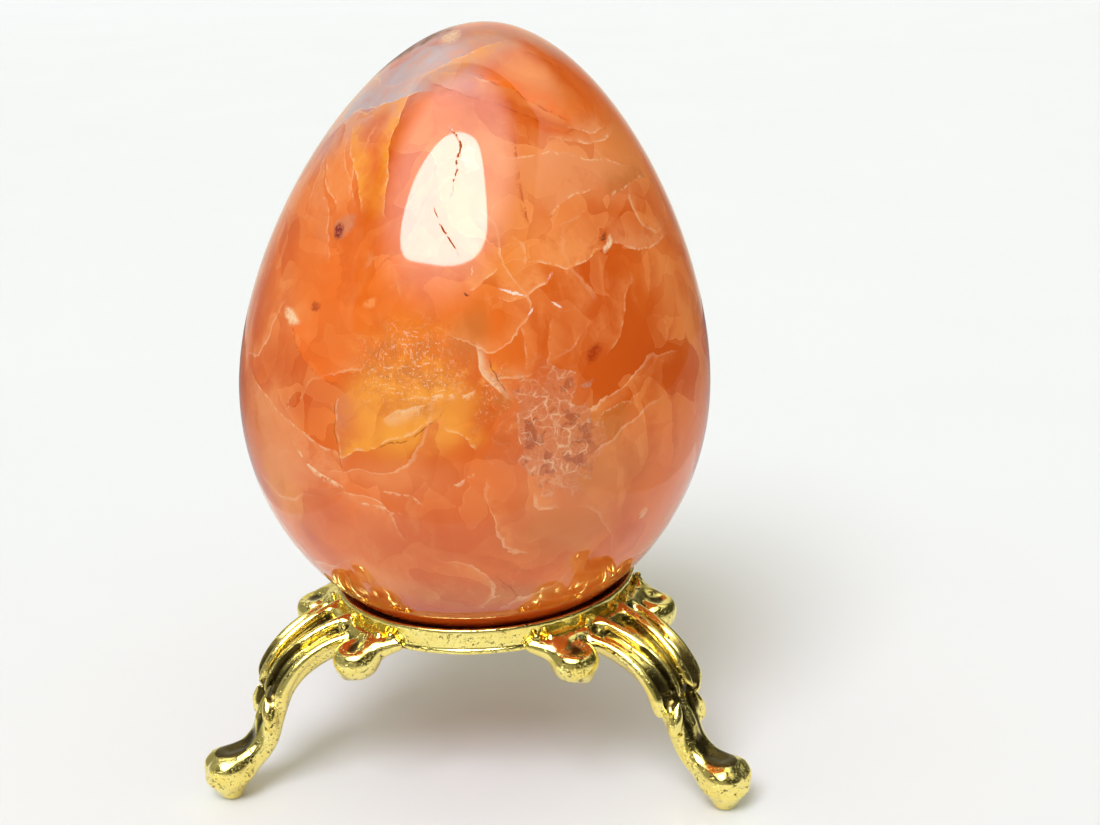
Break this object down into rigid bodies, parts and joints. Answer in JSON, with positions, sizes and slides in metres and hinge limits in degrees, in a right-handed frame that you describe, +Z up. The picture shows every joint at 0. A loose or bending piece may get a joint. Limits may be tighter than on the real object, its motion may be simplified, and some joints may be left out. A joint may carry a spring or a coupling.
{
  "type": "decorative egg on stand",
  "caption": "Polished banded stone egg resting loose in the ring of a small gilt stand with scrolled, fluted cabriole legs.",
  "frame": {"origin": "on the table, under the middle of the whole part's bounding box; the ring's upright axis stands 4.2 mm in front of it", "axes": "+Z up along the way the egg lifts out, +Y towards the rear leg, +X to the right as seen from the front"},
  "size_m": [0.0572, 0.0569, 0.0773],
  "materials": {
    "stone": "polished, banded and fractured orange chalcedony",
    "gilt": "gold plated casting, polished on its high places and pitted in its hollows"
  },
  "bodies": {
    "stand": {"seat_ring": "gilt", "leg_front_left": "gilt", "leg_front_right": "gilt", "leg_rear": "gilt"},
    "egg": {"egg": "stone"}
  },
  "joints": [
    {"name": "egg_lift", "type": "slide", "parent": "stand", "child": "egg", "axis": [0, 0, 1], "range_m": [0, 0.08]}
  ]
}
